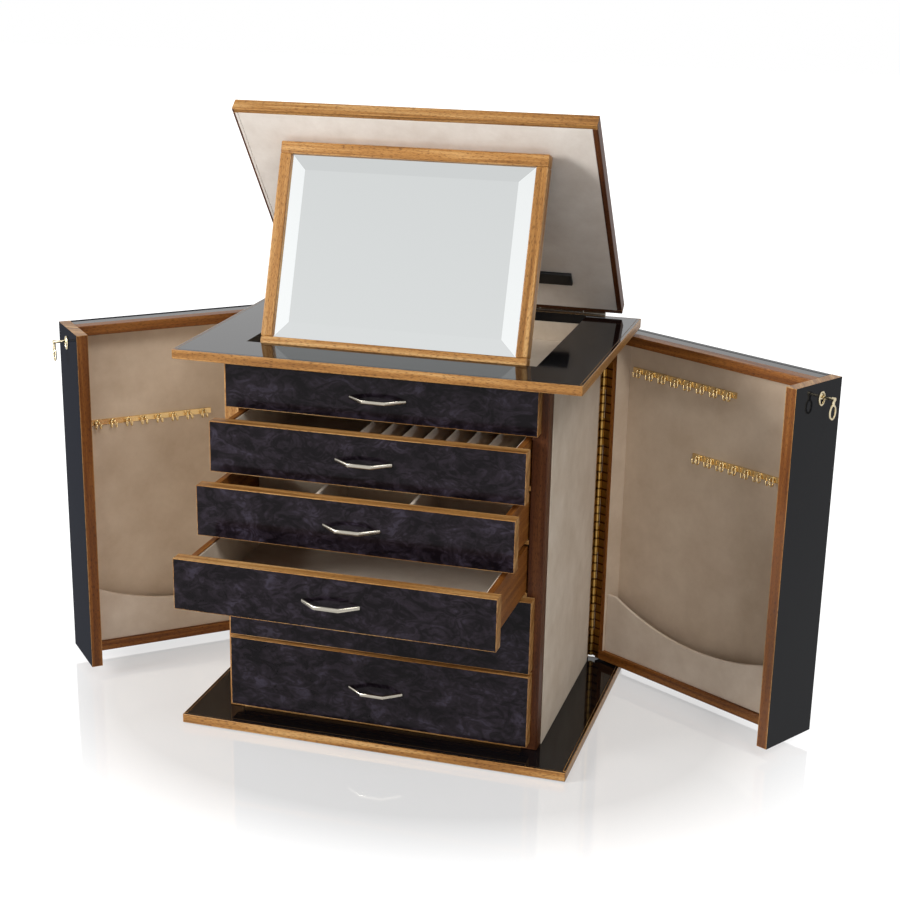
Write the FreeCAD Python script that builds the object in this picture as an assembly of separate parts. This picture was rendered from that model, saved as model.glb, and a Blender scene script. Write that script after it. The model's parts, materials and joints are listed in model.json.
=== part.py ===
import math
import os

import FreeCAD
import Part
from FreeCAD import Vector as V

os.makedirs("parts", exist_ok=True)

# Driving sizes in millimetres. X is right, Y is back, Z is up, with the underside centre at the origin.
plateWidth = 340.0
plateDepth = 240.0
plateThick = 8.0
cabinetHeight = 318.0

# Base, carcass and shelves
feltThick = 1.0
feltInset = 6.0
lippingWidth = 3.0
doorBay = 32.0
postWidth = 13.0
postDepth = 13.0
postSetBack = 32.0
sideThick = 8.0
backThick = 4.0
backInset = 1.0
liningThick = 1.0
shelfThick = 4.0
baseTop = feltThick + plateThick
topUnder = baseTop + cabinetHeight
topFace = topUnder + plateThick
cabinetHalf = plateWidth / 2 - doorBay
cabinetBack = plateDepth / 2 - backInset
postFront = -plateDepth / 2 + postSetBack
postBack = postFront + postDepth
sideInner = cabinetHalf - sideThick
postClear = cabinetHalf - postWidth

# Drawers, listed from the top one down
frontThick = 12.0
frontReveal = 6.0
frontGap = 2.7
stackFoot = 7.0
stackHead = 5.1
frontShares = [37.0, 42.8, 42.8, 42.8, 63.5, 63.5]
pulledOut = [0.0, 34.5, 63.5, 112.0, 0.0, 0.0]
boxClearance = 1.0
boxBoard = 5.0
boxFloor = 3.0
boxRearGap = 19.0
slideGap = 0.4
boxHeadroom = 2.0
dividerThick = 3.0
dividerDrop = 4.0
rollWidth = 18.0
rollGap = 0.6
rollCrown = 7.5
rollCount = 7
rollSideGap = 22.8
rollFrontGap = 8.0
rollRearGap = 40.0
frontHalf = cabinetHalf - frontReveal
frontFace = postFront - frontThick
boxHalf = postClear - boxClearance
boxInner = boxHalf - boxBoard
boxRear = cabinetBack - boxRearGap
stack = cabinetHeight - stackFoot - stackHead - frontGap * (len(frontShares) - 1)
frontHeights = [stack * share / sum(frontShares) for share in frontShares]

# Bow pulls
pullSpan = 48.5
pullMiddle = 20.5
pullReach = 12.0
pullTall = 3.6
pullStrap = 2.6
pullFoot = 4.4
pullShoulder = 1.2

# Opening and recess in the top
openSide = 15.0
openRearEdge = 5.0
openFrontEdge = 46.0
trayWall = 3.0
trayDepth = 17.0
openHalf = cabinetHalf - openSide
openFront = -plateDepth / 2 + openFrontEdge
openRear = plateDepth / 2 - openRearEdge
trayFloorTop = topUnder - trayDepth

# Mirror
mirrorSideGap = 9.5
mirrorEndGap = 1.5
mirrorThick = 12.0
mirrorRail = 10.0
mirrorFoot = 18.0
mirrorAngle = 71.0
mirrorPivotDrop = 15.0
glassThick = 4.0
glassSink = 1.0
glassEdge = 2.5
glassBevel = 13.0
backerThick = 3.0
pivotRadius = 2.0
pivotClearance = 0.06
pivotEndGap = 0.4
mirrorHalf = openHalf - mirrorSideGap
mirrorPivotY = openFront + mirrorThick / 2 + mirrorEndGap
mirrorPivotZ = topFace - mirrorPivotDrop
mirrorReach = openRear - mirrorEndGap - mirrorPivotY

# Lid
lidSide = 17.0
lidSetBack = 7.5
lidThick = 10.8
lidBorder = 4.5
lidGap = 0.6
lidLining = 1.5
lidTouchGap = 0.4
bufferInset = 0.5
bufferWidth = 14.0
bufferThick = 3.0
bufferFromHinge = 40.0
lidHalf = plateWidth / 2 - lidSide
lidDepth = plateDepth - lidSetBack
lidInner = topFace + lidGap
bufferHalf = mirrorHalf - bufferInset

# Hinges
barrelRadius = 2.2
pinRadius = 1.0
pinClearance = 0.05
leafThick = 1.0
leafWidth = 4.5
leafEndGap = 2.0
lidLeafInset = 15.0
doorKnuckles = 12
lidKnuckles = 14
knuckleGap = 0.4
leafGap = 2.0
leafClear = 0.2
leafMargin = 0.5
hingeOut = 2.5
hingeInset = 3.0
barrelGap = 0.3
hingeX = cabinetHalf + hingeOut
hingeY = cabinetBack - hingeInset
lidHingeY = plateDepth / 2 + barrelRadius + barrelGap
lidHingeZ = topFace + lidGap / 2

# Side doors, drawn closed
doorInset = 1.0
doorFootGap = 1.5
doorHeadGap = 4.5
doorRearGap = 1.8
doorPanel = 6.0
railThick = 9.0
returnWidth = 60.0
returnThick = 10.0
returnGap = 1.0
doorLining = 3.0
pocketThick = 2.5
pocketSetBack = 3.0
pocketShoulder = 10.0
pocketRear = 56.5
pocketFree = 51.4
pocketMiddle = 33.7
leftDoorAngle = 47.8
rightDoorAngle = 59.5
doorOuter = plateWidth / 2 - doorInset
doorRim = cabinetHalf + 2 * leafThick + leafGap
doorRear = hingeY - barrelRadius - doorRearGap
doorLow = baseTop + doorFootGap
doorHigh = topUnder - doorHeadGap
doorTall = doorHigh - doorLow
returnBack = frontFace - returnGap
trayLow = doorLow + railThick
trayHigh = doorHigh - railThick
trayRear = doorRear - railThick

# Hook rails, each with its gap to the return, gap to the rear rail, drop below the top rail and count of hooks
leftRails = [(11.0, 77.0, 85.5, 8)]
rightRails = [(85.0, 5.0, 25.7, 8), (35.0, 77.0, 88.5, 7)]
railPlate = 1.5
railHeight = 6.0
hookReach = 6.0
hookWire = 1.6

# Locks and keys
lockDrop = 12.0
lockInset = 26.0
lockZ = doorHigh - lockDrop
lockX = doorOuter - lockInset
shankOut = 12.0
shankRadius = 1.25
barrelBore = 1.3
lockBarrel = 3.0
barrelShort = 1.0
escutcheonWide = 3.6
escutcheonTall = 6.0
escutcheonThick = 1.2
escutcheonRim = 1.1
escutcheonDrop = 1.5
shankIn = 7.0
collarRadius = 2.0
collarLong = 1.5
bowWide = 4.1
bowTall = 8.5
bowWire = 1.6
bowDrop = 8.0


def box(x0, x1, y0, y1, z0, z1):
    return Part.makeBox(x1 - x0, y1 - y0, z1 - z0, V(x0, y0, z0))


def both(shape):
    return [shape, shape.mirror(V(0, 0, 0), V(1, 0, 0))]


def turned(shape, point, axis, degrees):
    copy = shape.copy()
    copy.rotate(V(*point), V(*axis), degrees)
    return copy


def prism(points, along):
    face = Part.Face(Part.makePolygon([V(*p) for p in points + points[:1]]))
    return face.extrude(V(*along))


def rod(radius, length, start, direction):
    return Part.makeCylinder(radius, length, V(*start), V(*direction))


def save(name, shapes):
    shape = shapes[0] if len(shapes) == 1 else Part.makeCompound(shapes)
    shape.exportStep("parts/" + name + ".step")


# Front heights are listed from the top drawer down, and the stack is measured from the lowest one up.
def frontSpans():
    spans = []
    z = baseTop + stackFoot
    for height in reversed(frontHeights):
        spans.append((z, z + height))
        z += height + frontGap
    return spans[::-1]


def shelfTops():
    spans = frontSpans()
    tops = [(upper[0] + lower[1]) / 2 + shelfThick / 2 for upper, lower in zip(spans, spans[1:])]
    return tops + [baseTop + shelfThick]


def lipping(half, front, rear, z0, z1):
    edge = lippingWidth
    sticks = [box(-half, half, front, front + edge, z0, z1), box(-half, half, rear - edge, rear, z0, z1)]
    sticks += both(box(half - edge, half, front + edge, rear - edge, z0, z1))
    return sticks


def makePlates():
    half = plateWidth / 2
    deep = plateDepth / 2
    inner = half - lippingWidth
    innerDeep = deep - lippingWidth
    feltX = half - feltInset
    feltY = deep - feltInset
    save("base_felt", [box(-feltX, feltX, -feltY, feltY, 0, feltThick)])
    save("base_plate", [box(-inner, inner, -innerDeep, innerDeep, feltThick, baseTop)])
    save("base_lipping", lipping(half, -deep, deep, feltThick, baseTop))
    top = box(-inner, inner, -innerDeep, innerDeep, topUnder, topFace)
    save("top_plate", [top.cut(box(-openHalf, openHalf, openFront, openRear, topUnder, topFace))])
    save("top_lipping", lipping(half, -deep, deep, topUnder, topFace))


def makeCarcass():
    inner = sideInner
    side = box(inner, cabinetHalf, postBack, cabinetBack, baseTop, topUnder)
    save("side_panels", both(side))
    leafFront = doorRear - leafWidth
    lining = box(cabinetHalf, cabinetHalf + liningThick, postBack, leafFront, baseTop, topUnder)
    save("side_linings", both(lining))
    backTop = trayFloorTop - trayWall
    save("back_panel", [box(-inner, inner, cabinetBack - backThick, cabinetBack, baseTop, backTop)])
    post = box(cabinetHalf - postWidth, cabinetHalf, postFront, postBack, baseTop, topUnder)
    save("front_posts", both(post))
    shelves = []
    clear = postClear
    for top in shelfTops():
        board = box(-inner, inner, postBack, cabinetBack - backThick, top - shelfThick, top)
        tongue = box(-clear, clear, postFront, postBack, top - shelfThick, top)
        shelves.append(board.fuse(tongue).removeSplitter())
    railLow = frontSpans()[0][1] - frontGap
    shelves.append(box(-clear, clear, postFront, openFront - trayWall, railLow, topUnder))
    save("drawer_shelves", shelves)


def makeTray():
    inner = sideInner
    outer = openHalf + trayWall
    floorLow = trayFloorTop - trayWall
    side = box(openHalf, outer, max(openFront, postBack), openRear, trayFloorTop, topUnder)
    pivot = (openHalf, mirrorPivotY, mirrorPivotZ)
    bore = rod(pivotRadius + pivotClearance, trayWall, pivot, (1, 0, 0))
    walls = both(side.cut(bore))
    wallBack = max(openFront, postBack)
    walls.append(box(-postClear, postClear, wallBack - trayWall, wallBack, floorLow, topUnder))
    walls.append(box(-inner, inner, openRear, cabinetBack, trayFloorTop, topUnder))
    walls.append(box(-inner, inner, wallBack, cabinetBack, floorLow, trayFloorTop))
    save("top_tray", walls)


def knuckles(count, length, pick, start, along):
    step = length / count
    pieces = []
    for i in range(count):
        if i % 2 == pick:
            place = V(*start) + V(*along) * (i * step + knuckleGap / 2)
            barrel = Part.makeCylinder(barrelRadius, step - knuckleGap, place, V(*along))
            boreRadius = pinRadius + pinClearance * (1 - pick)
            bore = Part.makeCylinder(boreRadius, step, place - V(*along) * (knuckleGap / 2), V(*along))
            pieces.append((barrel, bore, place, step - knuckleGap))
    return pieces


# Each knuckled leaf is one flat strip with a tab running to every barrel it carries.
def doorLeaf(pick):
    low = doorLow + leafEndGap
    length = doorTall - 2 * leafEndGap
    front = doorRear - leafWidth
    flat = cabinetHalf if pick == 1 else doorRim - leafThick
    strip = box(flat, flat + leafThick, front, doorRear + leafThick, low, low + length)
    leaf = strip
    for barrel, bore, place, tall in knuckles(doorKnuckles, length, pick, (hingeX, hingeY, low), (0, 0, 1)):
        tab = box(flat, flat + leafThick, doorRear, hingeY, place.z, place.z + tall)
        leaf = leaf.fuse(tab.fuse(barrel))
    for barrel, bore, place, tall in knuckles(doorKnuckles, length, pick, (hingeX, hingeY, low), (0, 0, 1)):
        leaf = leaf.cut(bore)
    return leaf.removeSplitter(), rod(pinRadius, length, (hingeX, hingeY, low), (0, 0, 1))


def lidLeaf(pick):
    length = 2 * (lidHalf - lidLeafInset)
    start = -length / 2
    rear = plateDepth / 2
    clear = barrelRadius + leafClear
    tabHalf = leafThick / 2
    z0, z1 = topUnder + leafMargin, lidHingeZ - clear
    if pick == 0:
        z0, z1 = lidHingeZ + clear, lidInner + lidThick - leafMargin
    leaf = box(start, -start, rear, rear + leafThick, z0, z1)
    origin = (start, lidHingeY, lidHingeZ)
    for barrel, bore, place, wide in knuckles(lidKnuckles, length, pick, origin, (1, 0, 0)):
        tab = box(place.x, place.x + wide, rear, lidHingeY, lidHingeZ - tabHalf, lidHingeZ + tabHalf)
        web = box(place.x, place.x + wide, rear, rear + leafThick, min(z0, lidHingeZ), max(z1, lidHingeZ))
        leaf = leaf.fuse(tab.fuse(barrel).fuse(web))
    for barrel, bore, place, wide in knuckles(lidKnuckles, length, pick, origin, (1, 0, 0)):
        leaf = leaf.cut(bore)
    return leaf.removeSplitter(), rod(pinRadius, length, origin, (1, 0, 0))


# The lid rests a hair off the mirror's top back edge.
def lidAngle():
    tilt = math.radians(mirrorAngle)
    topY = mirrorPivotY + mirrorReach * math.cos(tilt) + mirrorThick / 2 * math.sin(tilt)
    topZ = mirrorPivotZ + mirrorReach * math.sin(tilt) - mirrorThick / 2 * math.cos(tilt)
    away = math.hypot(lidHingeY - topY, topZ - lidHingeZ)
    level = lidInner - lidHingeZ - lidTouchGap
    return math.degrees(math.atan2(topZ - lidHingeZ, lidHingeY - topY) - math.asin(level / away))


def lidPlaced(shape):
    return turned(shape, (0, lidHingeY, lidHingeZ), (-1, 0, 0), lidAngle())


def makeLid():
    rear = plateDepth / 2
    front = rear - lidDepth
    low = lidInner
    high = lidInner + lidThick
    inner = lidHalf - lidBorder
    sticks = [box(-lidHalf, lidHalf, front, front + lidBorder, low, high)]
    sticks.append(box(-lidHalf, lidHalf, rear - lidBorder, rear, low, high))
    sticks += both(box(inner, lidHalf, front + lidBorder, rear - lidBorder, low, high))
    save("lid_lipping", [lidPlaced(s) for s in sticks])
    board = box(-inner, inner, front + lidBorder, rear - lidBorder, low + lidLining, high)
    save("lid_board", [lidPlaced(board)])
    lining = box(-inner, inner, front + lidBorder, rear - lidBorder, low, low + lidLining)
    save("lid_lining", [lidPlaced(lining)])
    barRear = lidHingeY - bufferFromHinge
    bar = box(-bufferHalf, bufferHalf, barRear - bufferWidth, barRear, low - bufferThick, low)
    save("lid_buffer", [lidPlaced(bar)])
    leaf, pin = lidLeaf(1)
    save("lid_hinge_fixed", [leaf, pin])
    save("lid_hinge_moving", [lidPlaced(lidLeaf(0)[0])])


def mirrorPlaced(shape):
    return turned(shape, (0, mirrorPivotY, mirrorPivotZ), (1, 0, 0), mirrorAngle)


# The mirror is drawn lying flat with its glass up, then swung up about its two side pins.
def makeMirror():
    half = mirrorHalf
    rail = mirrorRail
    y0 = mirrorPivotY
    y1 = mirrorPivotY + mirrorReach
    z0 = mirrorPivotZ - mirrorThick / 2
    z1 = mirrorPivotZ + mirrorThick / 2
    heel = rod(mirrorThick / 2, 2 * half, (-half, y0, mirrorPivotZ), (1, 0, 0))
    sideFront = y0 + mirrorFoot
    heel = heel.cut(box(-half, half, y0, y0 + mirrorThick, z0, z1))
    bottom = heel.fuse(box(-half, half, y0, sideFront, z0, z1)).removeSplitter()
    sticks = [bottom, box(-half, half, y1 - rail, y1, z0, z1)]
    sticks += both(box(half - rail, half, sideFront, y1 - rail, z0, z1))
    save("mirror_frame", [mirrorPlaced(s) for s in sticks])
    glassTop = z1 - glassSink
    bevelLow = glassTop - glassThick + glassEdge
    inX = half - rail
    backer = box(-inX, inX, sideFront, y1 - rail, glassTop - glassThick - backerThick, glassTop - glassThick)
    save("mirror_backboard", [mirrorPlaced(backer)])
    glass = box(-inX, inX, sideFront, y1 - rail, glassTop - glassThick, bevelLow)
    low = [(-inX, sideFront), (inX, sideFront), (inX, y1 - rail), (-inX, y1 - rail)]
    lift = [(-inX + glassBevel, sideFront + glassBevel), (inX - glassBevel, sideFront + glassBevel)]
    lift += [(inX - glassBevel, y1 - rail - glassBevel), (-inX + glassBevel, y1 - rail - glassBevel)]
    rings = [(low, bevelLow), (lift, glassTop)]
    wires = [Part.makePolygon([V(x, y, z) for x, y in ring + ring[:1]]) for ring, z in rings]
    save("mirror_glass", [mirrorPlaced(glass.fuse(Part.makeLoft(wires, True, True)).removeSplitter())])
    stub = rod(pivotRadius, openHalf + trayWall - pivotEndGap - half, (half, y0, mirrorPivotZ), (1, 0, 0))
    save("mirror_pivots", [mirrorPlaced(s) for s in both(stub)])


# A right door drawn closed; the left one is its mirror image apart from its hook rails.
def doorPlaced(shape, side):
    if side < 0:
        shape = shape.mirror(V(0, 0, 0), V(1, 0, 0))
        return turned(shape, (-hingeX, hingeY, 0), (0, 0, -1), leftDoorAngle)
    return turned(shape, (hingeX, hingeY, 0), (0, 0, 1), rightDoorAngle)


def pocketShape():
    x = doorRim + pocketSetBack
    free = V(x, returnBack + pocketShoulder, trayLow + pocketFree)
    rear = V(x, trayRear - pocketShoulder, trayLow + pocketRear)
    middle = V(x, (returnBack + trayRear) / 2, trayLow + pocketMiddle)
    corners = [free, V(x, returnBack, free.z), V(x, returnBack, trayLow), V(x, trayRear, trayLow)]
    outline = Part.makePolygon(corners + [V(x, trayRear, rear.z), rear])
    wire = Part.Wire(outline.Edges + [Part.Arc(rear, middle, free).toShape()])
    return Part.Face(wire).extrude(V(pocketThick, 0, 0))


# A flat plate with a row of upturned hooks, screwed to the lining.
def hookRail(frontGap, rearGap, drop, count):
    back = doorOuter - doorPanel - doorLining
    face = back - railPlate
    y0 = returnBack + frontGap
    y1 = trayRear - rearGap
    z = trayHigh - drop
    half = hookWire / 2
    low = z - railHeight / 2 + half / 2
    pieces = [box(face, back, y0, y1, z - railHeight / 2, z + railHeight / 2)]
    for i in range(count):
        y = y0 + (y1 - y0) * (i + 0.5) / count
        arm = box(face - hookReach, face, y - half, y + half, low, low + hookWire)
        tip = box(face - hookReach, face - hookReach + hookWire, y - half, y + half, low, z + railHeight / 2)
        pieces.append(arm.fuse(tip).removeSplitter())
    return pieces


# An upright oval disc whose back face is centred on the given point.
def oval(wide, tall, centre, thick):
    ellipse = Part.Ellipse(V(0, 0, 0), tall, wide)
    shape = Part.Face(Part.Wire(ellipse.toShape())).extrude(V(0, 0, thick))
    shape.rotate(V(0, 0, 0), V(0, 0, 1), 90)
    shape.rotate(V(0, 0, 0), V(1, 0, 0), 90)
    shape.translate(V(*centre))
    return shape


# Escutcheon on the return's face with the lock barrel behind it, and the key standing in the barrel.
def lockAndKey():
    face = returnBack - returnThick
    depth = returnThick - barrelShort
    ringZ = lockZ - escutcheonDrop
    half = escutcheonThick / 2
    plate = oval(escutcheonWide, escutcheonTall, (lockX, face, ringZ), escutcheonThick)
    dish = oval(escutcheonWide - escutcheonRim, escutcheonTall - escutcheonRim, (lockX, face - half, ringZ), half)
    barrel = rod(lockBarrel, depth, (lockX, face, lockZ), (0, 1, 0))
    bore = rod(barrelBore, depth, (lockX, face - escutcheonThick, lockZ), (0, 1, 0))
    lock = plate.cut(dish).fuse(barrel).cut(bore).removeSplitter()
    shank = rod(shankRadius, shankOut + shankIn, (lockX, face - shankOut, lockZ), (0, 1, 0))
    collar = rod(collarRadius, collarLong, (lockX, face - shankOut, lockZ), (0, 1, 0))
    bowBack = (lockX, face - shankOut + collarLong, lockZ - bowDrop)
    bow = oval(bowWide, bowTall, bowBack, bowWire)
    bow = bow.cut(oval(bowWide - bowWire, bowTall - bowWire, bowBack, bowWire))
    return lock, shank.fuse(collar).fuse(bow).removeSplitter()


def makeDoor(side):
    name = "door_left_" if side < 0 else "door_right_"
    inner = doorOuter - doorPanel
    returnFace = returnBack - returnThick
    place = lambda shapes: [doorPlaced(s, side) for s in shapes]
    save(name + "panel", place([box(inner, doorOuter, returnBack, doorRear, doorLow, doorHigh)]))
    board = box(doorOuter - returnWidth, doorOuter, returnFace, returnBack, doorLow, doorHigh)
    socket = rod(lockBarrel, returnThick - barrelShort, (lockX, returnFace, lockZ), (0, 1, 0))
    save(name + "return", place([board.cut(socket)]))
    rails = [box(doorRim, inner, returnBack, doorRear, trayHigh, doorHigh)]
    rails.append(box(doorRim, inner, returnBack, doorRear, doorLow, trayLow))
    rails.append(box(doorRim, inner, trayRear, doorRear, trayLow, trayHigh))
    save(name + "rails", place(rails))
    save(name + "lining", place([box(inner - doorLining, inner, returnBack, trayRear, trayLow, trayHigh)]))
    save(name + "pocket", place([pocketShape()]))
    hooks = []
    for rail in leftRails if side < 0 else rightRails:
        hooks += hookRail(*rail)
    save(name + "hook_rails", place(hooks))
    lock, key = lockAndKey()
    save(name + "lock", place([lock]))
    save("key_left" if side < 0 else "key_right", place([key]))
    save(name + "hinge_leaf", place([doorLeaf(0)[0]]))
    fixed = list(doorLeaf(1))
    if side < 0:
        fixed = [s.mirror(V(0, 0, 0), V(1, 0, 0)) for s in fixed]
    save(name + "hinge_fixed", fixed)


def makePull(face, z):
    reach = face - pullReach
    a = pullSpan / 2
    b = pullMiddle / 2
    points = [(-a, face, z), (-b, reach, z), (b, reach, z), (a, face, z)]
    inner = b - pullShoulder
    points += [(a - pullFoot, face, z), (inner, reach + pullStrap, z)]
    points += [(-inner, reach + pullStrap, z), (-a + pullFoot, face, z)]
    return prism([(x, y, z - pullTall / 2) for x, y, z in points], (0, 0, pullTall))


def makeRolls(z, shift):
    rolls = []
    pitch = rollWidth + rollGap
    front = postFront + rollFrontGap - shift
    rear = boxRear - rollRearGap - shift
    start = boxInner - rollSideGap - pitch * rollCount
    for i in range(int(rollCount)):
        x = start + pitch * i
        body = box(x, x + rollWidth, front, rear, z, z + rollWidth)
        top = body.BoundBox.ZMax
        crown = [e for e in body.Edges if abs(e.CenterOfMass.z - top) < 0.01 and e.Length > 2 * rollWidth]
        rolls.append(body.makeFillet(rollCrown, crown))
    return rolls


def makeDrawer(number):
    z0, z1 = frontSpans()[number - 1]
    shift = pulledOut[number - 1]
    name = "drawer_%d_" % number
    low = shelfTops()[number - 1] + slideGap
    ceiling = trayFloorTop - trayWall if number == 1 else shelfTops()[number - 2] - shelfThick
    high = ceiling - boxHeadroom
    front = box(-frontHalf, frontHalf, frontFace, postFront, z0, z1)
    inner = boxInner
    boards = both(box(inner, boxHalf, postFront, boxRear, low, high))
    boards.append(box(-inner, inner, boxRear - boxBoard, boxRear, low, high))
    boards.append(box(-inner, inner, postFront, boxRear - boxBoard, low, low + boxFloor))
    if number == 3:
        floor = low + boxFloor
        top = high - dividerDrop
        middle = (postFront + boxRear - boxBoard) / 2
        half = dividerThick / 2
        boards.append(box(-inner, inner, middle - half, middle + half, floor, top))
        for x in (-inner / 3, inner / 3):
            boards.append(box(x - half, x + half, postFront, middle - half, floor, top))
            boards.append(box(x - half, x + half, middle + half, boxRear - boxBoard, floor, top))
    pull = makePull(frontFace, (z0 + z1) / 2)
    for shape in [front, pull] + boards:
        shape.translate(V(0, -shift, 0))
    save(name + "front", [front])
    save(name + "box", boards)
    save(name + "pull", [pull])
    if number == 2:
        save(name + "ring_rolls", makeRolls(low + boxFloor, shift))


makePlates()
makeCarcass()
makeTray()
makeLid()
makeMirror()
for side in (-1, 1):
    makeDoor(side)
for number in range(1, 7):
    makeDrawer(number)
print("lid stands at", round(lidAngle(), 4), "degrees")
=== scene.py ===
import json
import math
import random

import bmesh
import bpy
from mathutils import Matrix, Vector

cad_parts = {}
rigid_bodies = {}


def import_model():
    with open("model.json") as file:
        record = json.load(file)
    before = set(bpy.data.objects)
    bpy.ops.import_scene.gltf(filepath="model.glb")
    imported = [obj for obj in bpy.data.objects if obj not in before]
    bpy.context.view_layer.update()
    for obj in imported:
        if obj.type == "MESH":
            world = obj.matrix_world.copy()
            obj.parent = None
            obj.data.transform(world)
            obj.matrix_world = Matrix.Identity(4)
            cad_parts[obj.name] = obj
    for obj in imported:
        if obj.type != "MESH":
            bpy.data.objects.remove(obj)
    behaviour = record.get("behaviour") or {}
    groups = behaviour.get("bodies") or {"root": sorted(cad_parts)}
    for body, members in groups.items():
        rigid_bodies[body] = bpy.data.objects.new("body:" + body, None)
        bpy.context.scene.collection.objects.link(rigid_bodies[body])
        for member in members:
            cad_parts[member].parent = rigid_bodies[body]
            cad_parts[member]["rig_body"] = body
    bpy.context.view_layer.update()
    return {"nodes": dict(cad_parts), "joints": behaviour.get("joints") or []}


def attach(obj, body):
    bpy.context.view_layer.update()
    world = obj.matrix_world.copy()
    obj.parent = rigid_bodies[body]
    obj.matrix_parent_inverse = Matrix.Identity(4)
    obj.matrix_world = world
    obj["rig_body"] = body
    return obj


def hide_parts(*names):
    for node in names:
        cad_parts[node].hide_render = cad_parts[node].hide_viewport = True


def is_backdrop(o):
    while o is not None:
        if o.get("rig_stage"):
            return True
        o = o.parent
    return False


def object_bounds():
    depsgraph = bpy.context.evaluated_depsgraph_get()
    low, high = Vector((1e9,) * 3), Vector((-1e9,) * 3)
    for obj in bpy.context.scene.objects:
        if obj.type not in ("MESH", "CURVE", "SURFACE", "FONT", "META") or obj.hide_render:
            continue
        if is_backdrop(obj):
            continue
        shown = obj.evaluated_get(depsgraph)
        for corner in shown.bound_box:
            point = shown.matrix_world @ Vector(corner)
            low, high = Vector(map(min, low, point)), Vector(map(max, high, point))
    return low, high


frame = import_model()
nodes = frame["nodes"]
joints = {joint["child"]: joint for joint in frame["joints"]}
scene = bpy.context.scene
mm = 0.001
facing = 0.9  # a face looks along an axis when its normal reaches this far along it
merge = 1e-6  # points of a node this near, in metres, are one
weld = 1e-7  # the same for shapes drawn here
pointDigits = 7  # decimals that a finished piece's points keep, in metres

# How far each swinging body stands open at rest, in degrees from closed.
openAngle = {"left_door": 47.8, "right_door": 59.5, "lid": 50.8313, "mirror": 71.0}


# sRGB hex to linear colour.
def linear(code):
    channels = [int(code[i:i + 2], 16) / 255 for i in (1, 3, 5)]
    return tuple(c / 12.92 if c <= 0.04045 else ((c + 0.055) / 1.055) ** 2.4 for c in channels) + (1.0,)


# Matrix from a body's closed place to its place at rest, about its own hinge.
def placed(body):
    if body not in openAngle:
        return Matrix.Identity(4)
    pivot = Matrix.Translation(Vector(joints[body]["pos_m"]))
    swing = Matrix.Rotation(math.radians(openAngle[body]), 4, Vector(joints[body]["axis"]))
    return pivot @ swing @ pivot.inverted()


def lowAndHigh(points):
    return [Vector([pick(p[i] for p in points) for i in range(3)]) for pick in (min, max)]


# A node's corners with its body closed, in millimetres.
def closedBox(node):
    back = placed(nodes[node]["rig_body"]).inverted()
    return lowAndHigh([(back @ v.co) / mm for v in nodes[node].data.vertices])


# Adds a node, or takes the tree's own of that name; a (node, output) pair is a link, the rest are values.
def add(tree, kind, sockets=None, stops=(), **settings):
    node = tree.nodes.get(kind) or tree.nodes.new(kind)
    for key, value in settings.items():
        setattr(node, key, value)
    for key, value in (sockets or {}).items():
        if isinstance(value, tuple) and isinstance(value[0], bpy.types.Node):
            tree.links.new(value[0].outputs[value[1]], node.inputs[key])
        else:
            node.inputs[key].default_value = value
    for n, (place, code) in enumerate(stops):
        elements = node.color_ramp.elements
        element = elements[n] if n < len(elements) else elements.new(place)
        element.position = place
        element.color = linear(code)
    return node


def newMaterial(name):
    material = bpy.data.materials.new(name)
    material.use_nodes = True
    return material, material.node_tree


# Noise cells in a metre for a cell of so many millimetres.
def perMetre(size):
    return 1000.0 / size


# Stained hardwood under satin lacquer: long soft figure, short dark pores and a low broad shine.
# U runs along the grain; sizes are millimetres along and across it, the pores drawn coarse enough to show.
woodSet = {"figure": (140.0, 5.2), "pore": (3.8, 0.66), "poreShade": "#785a3e", "poreDepth": 0.75}


def makeWood(name, dark, middle, light, rough):
    material, tree = newMaterial(name)
    where = add(tree, "ShaderNodeUVMap")
    fields = []
    for key in ("figure", "pore"):
        along, across = woodSet[key]
        scale = (perMetre(along), perMetre(across), 1.0)
        fields.append(add(tree, "ShaderNodeMapping", {"Vector": (where, "UV"), "Scale": scale}))
    broad = add(tree, "ShaderNodeTexNoise", {"Vector": (fields[0], "Vector"), "Scale": 1.0, "Detail": 5.0,
                                             "Roughness": 0.55, "Distortion": 0.5})
    colour = add(tree, "ShaderNodeValToRGB", {"Fac": (broad, "Fac")},
                 stops=[(0.28, dark), (0.5, middle), (0.74, light)])
    fine = add(tree, "ShaderNodeTexNoise", {"Vector": (fields[1], "Vector"), "Scale": 1.0, "Detail": 2.0,
                                            "Roughness": 0.6})
    pores = add(tree, "ShaderNodeValToRGB", {"Fac": (fine, "Fac")},
                stops=[(0.34, woodSet["poreShade"]), (0.48, "#ffffff")])
    mixed = add(tree, "ShaderNodeMix", {"Factor": woodSet["poreDepth"], 6: (colour, "Color"),
                                        7: (pores, "Color")}, data_type="RGBA", blend_type="MULTIPLY")
    bump = add(tree, "ShaderNodeBump", {"Height": (fine, "Fac"), "Strength": 0.08, "Distance": 0.0004})
    add(tree, "Principled BSDF", {"Base Color": (mixed, 2), "Roughness": rough, "IOR": 1.32,
                                  "Normal": (bump, "Normal")})
    return material


# Black-stained burl veneer under thin lacquer: curled purple-grey figure in soft clouds on near black.
burlSet = {"curl": 17.0, "cloud": 29.0, "turns": 20.0, "curlDepth": 0.09, "squash": 1.5}


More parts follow.
